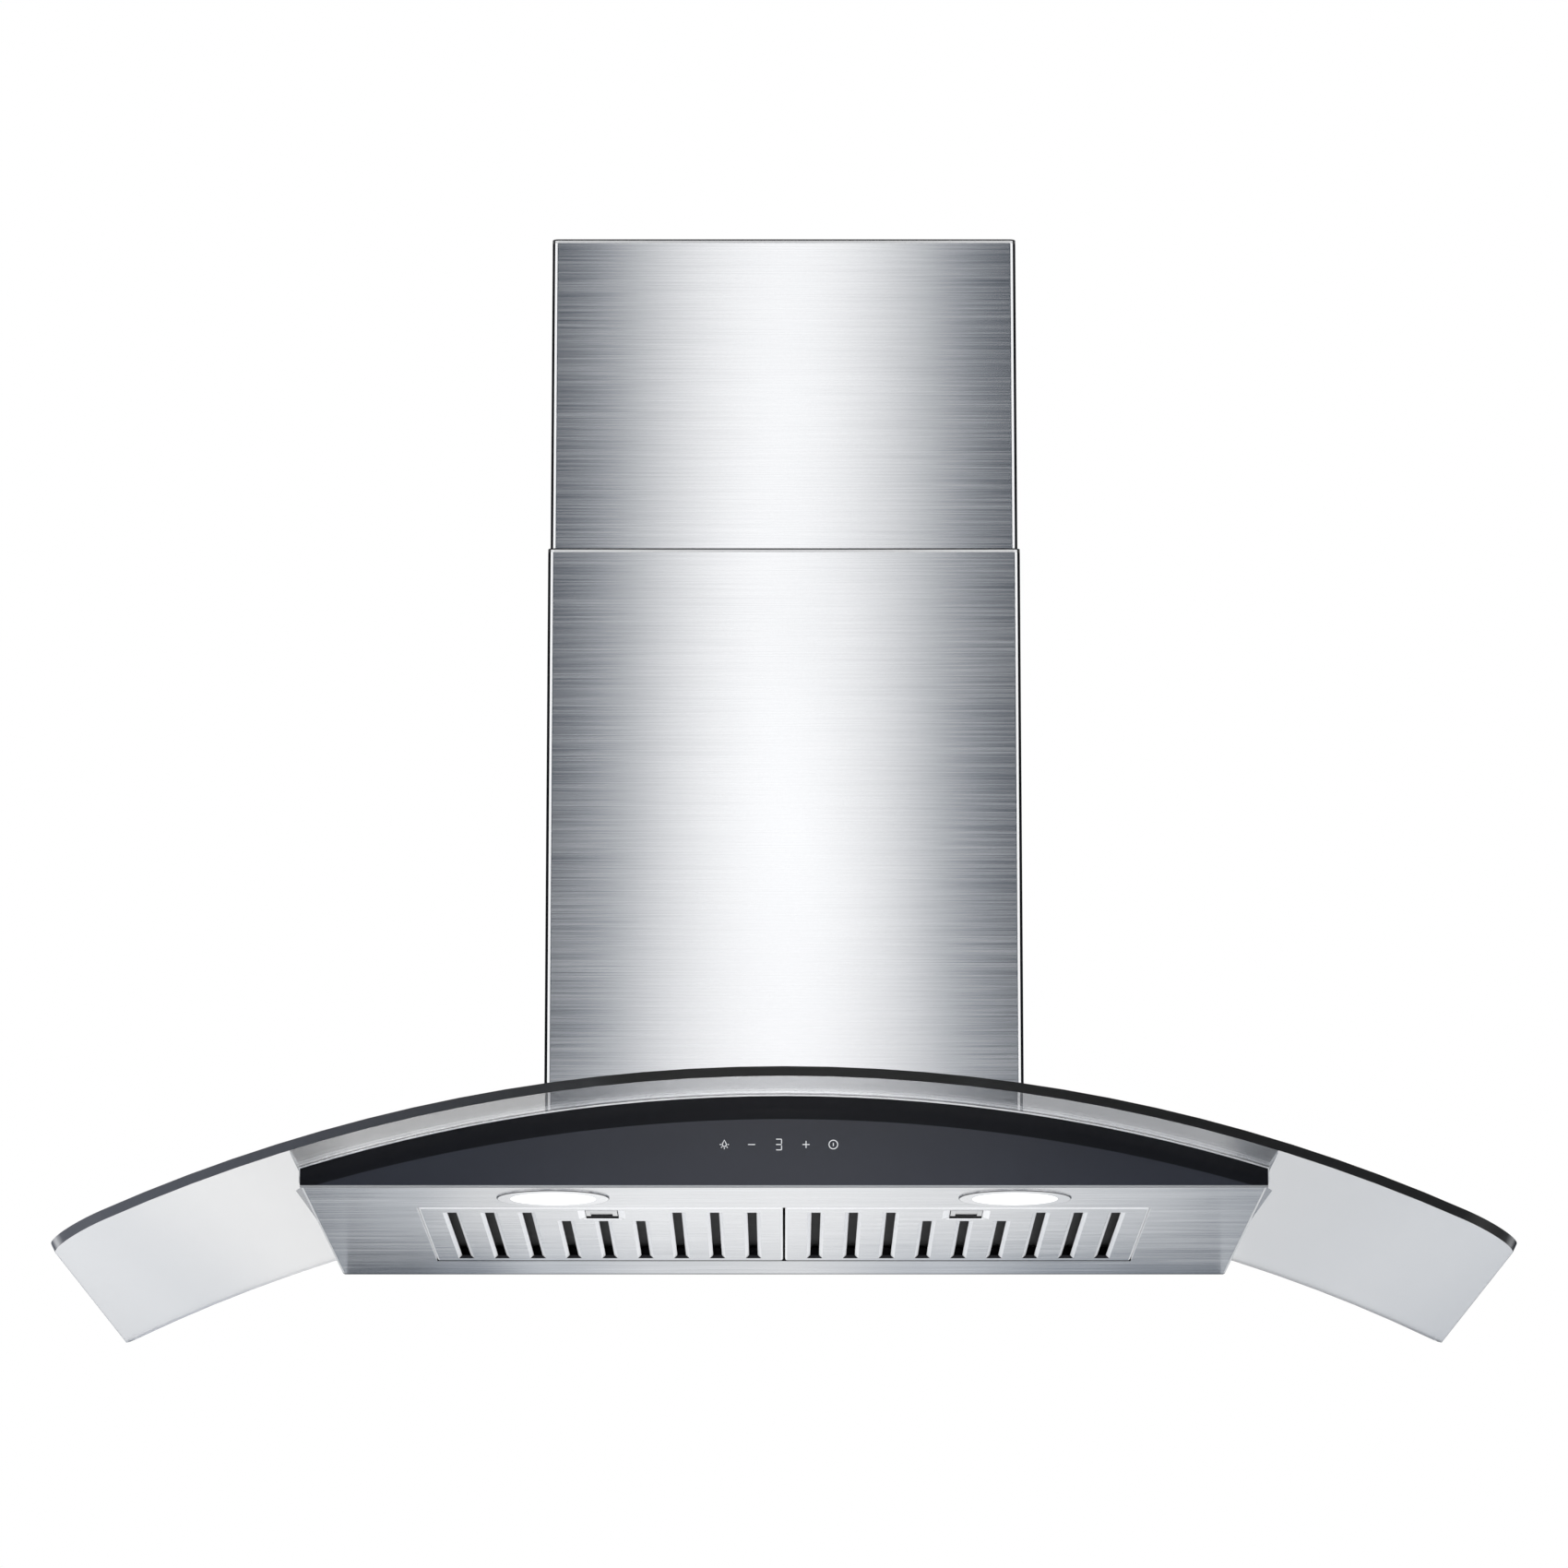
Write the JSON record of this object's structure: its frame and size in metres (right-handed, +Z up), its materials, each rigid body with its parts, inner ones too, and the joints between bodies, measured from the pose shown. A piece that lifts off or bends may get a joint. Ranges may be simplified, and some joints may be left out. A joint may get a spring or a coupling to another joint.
{
  "type": "wall mount range hood",
  "caption": "Wall mount range hood with an arched glass canopy, slim steel body, black glass touch panel, baffle filters, lamps and a telescopic chimney.",
  "frame": {"origin": "centre of the two hanging holes, on the wall plane", "axes": "+X to the right seen from the room, +Y into the wall, +Z up"},
  "size_m": [0.9, 0.5, 0.7026],
  "materials": {
    "brushed_steel": "brushed with a level grain",
    "filter_steel": "brushed with a level grain",
    "latch_steel": "satin",
    "clear_glass": "clear tempered, ground edges",
    "black_glass": "back-painted gloss glass",
    "lamp_steel": "satin",
    "lamp_lens": "frosted white",
    "heat_sink": "cast",
    "galvanised": "zinc coated sheet",
    "blower_plastic": "moulded",
    "outlet_plastic": "moulded",
    "motor_steel": "satin",
    "shaft_steel": "ground",
    "screw_steel": "zinc plated",
    "rubber": "matt",
    "circuit_board": "solder mask",
    "display_plastic": "moulded",
    "control_plastic": "moulded",
    "capacitor_case": "moulded"
  },
  "bodies": {
    "hood": {"body_panel": "brushed_steel", "lower_chimney": "brushed_steel", "glass_canopy": "clear_glass", "fascia_glass": "black_glass", "lamp_bezel_left": "lamp_steel", "lamp_bezel_right": "lamp_steel", "lamp_lens_left": "lamp_lens", "lamp_lens_right": "lamp_lens", "lamp_heat_sink_left": "heat_sink", "lamp_heat_sink_right": "heat_sink", "top_deck": "galvanised", "blower_neck": "galvanised", "air_box": "galvanised", "air_box_cover": "galvanised", "air_box_hook": "galvanised", "wall_hanging_plate": "galvanised", "glass_clamp_frame": "galvanised", "motor_bracket": "galvanised", "scroll_housing": "blower_plastic", "scroll_cover": "blower_plastic", "outlet_adapter": "outlet_plastic", "motor": "motor_steel", "damper_pin": "shaft_steel", "glass_bolts": "screw_steel", "cover_screws": "screw_steel", "motor_screws": "screw_steel", "outlet_screws": "screw_steel", "chimney_screws": "screw_steel", "lamp_clips": "screw_steel", "glass_gasket": "rubber", "glass_bushes": "rubber", "clamp_gasket": "rubber", "touch_pads": "rubber", "touch_board": "circuit_board", "power_board": "circuit_board", "led_boards": "circuit_board", "display_module": "display_plastic", "board_bracket": "control_plastic", "control_box": "control_plastic", "control_box_lid": "control_plastic", "junction_box": "control_plastic", "cable_gland": "control_plastic", "led_driver": "control_plastic", "capacitor": "capacitor_case"},
    "upper_cover": {"upper_chimney": "brushed_steel", "chimney_wall_bracket": "galvanised", "bracket_screws": "screw_steel"},
    "left_filter": {"filter_face_left": "filter_steel", "filter_backing_left": "filter_steel"},
    "right_filter": {"filter_face_right": "filter_steel", "filter_backing_right": "filter_steel"},
    "left_latch": {"filter_latch_left": "latch_steel"},
    "right_latch": {"filter_latch_right": "latch_steel"},
    "fan_wheel": {"impeller": "blower_plastic", "motor_shaft": "shaft_steel"},
    "front_flap": {"damper_flap_front": "outlet_plastic"},
    "rear_flap": {"damper_flap_rear": "outlet_plastic"}
  },
  "joints": [
    {"name": "upper_chimney_slide", "type": "slide", "parent": "hood", "child": "upper_cover", "axis": [0, 0, 1], "range_m": [-0.17, 0.14]},
    {"name": "left_filter_hinge", "type": "hinge", "parent": "hood", "child": "left_filter", "pos_m": [-0.116, -0.0745, -0.284], "axis": [1, 0, 0], "range_deg": [0, 75]},
    {"name": "right_filter_hinge", "type": "hinge", "parent": "hood", "child": "right_filter", "pos_m": [0.116, -0.0745, -0.284], "axis": [1, 0, 0], "range_deg": [0, 75]},
    {"name": "left_latch_slide", "type": "slide", "parent": "left_filter", "child": "left_latch", "axis": [0, 1, 0], "range_m": [0, 0.008], "stiffness_N_per_m": 300, "springref_m": -0.004},
    {"name": "right_latch_slide", "type": "slide", "parent": "right_filter", "child": "right_latch", "axis": [0, 1, 0], "range_m": [0, 0.008], "stiffness_N_per_m": 300, "springref_m": -0.004},
    {"name": "fan_wheel_spin", "type": "hinge", "parent": "hood", "child": "fan_wheel", "pos_m": [0, -0.125, -0.101], "axis": [1, 0, 0], "continuous": true},
    {"name": "front_flap_hinge", "type": "hinge", "parent": "hood", "child": "front_flap", "pos_m": [0, -0.1, 0.087], "axis": [-1, 0, 0], "range_deg": [0, 75]},
    {"name": "rear_flap_hinge", "type": "hinge", "parent": "hood", "child": "rear_flap", "pos_m": [0, -0.1, 0.087], "axis": [1, 0, 0], "range_deg": [0, 75]}
  ]
}
